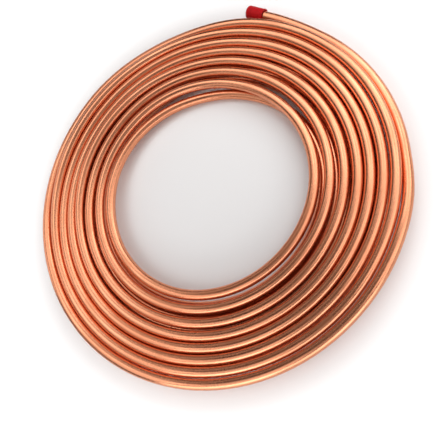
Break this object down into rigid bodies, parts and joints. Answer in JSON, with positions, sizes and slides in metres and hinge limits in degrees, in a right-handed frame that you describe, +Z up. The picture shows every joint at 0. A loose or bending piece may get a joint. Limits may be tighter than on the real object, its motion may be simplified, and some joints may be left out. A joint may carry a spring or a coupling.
{
  "type": "copper tube coil",
  "caption": "Soft copper tube wound as a flat two-layer pancake coil with an open bore, red push-on caps on both tube ends, lying flat.",
  "frame": {"origin": "under the middle of the coil's outline, at the level of the floor that the rear layer rests on; the bore's axis is 6.7 mm from it towards -Y", "axes": "+Z up along the bore, out of the front layer; +Y towards the side where the front layer's capped end lies, which is 7 degrees clockwise of it seen from above"},
  "size_m": [0.3644, 0.3749, 0.0237],
  "materials": {
    "copper": null,
    "red_plastic": "soft red moulded plastic"
  },
  "bodies": {
    "root": {"copper_tube": "copper", "front_end_cap": "red_plastic", "rear_end_cap": "red_plastic"}
  },
  "joints": []
}
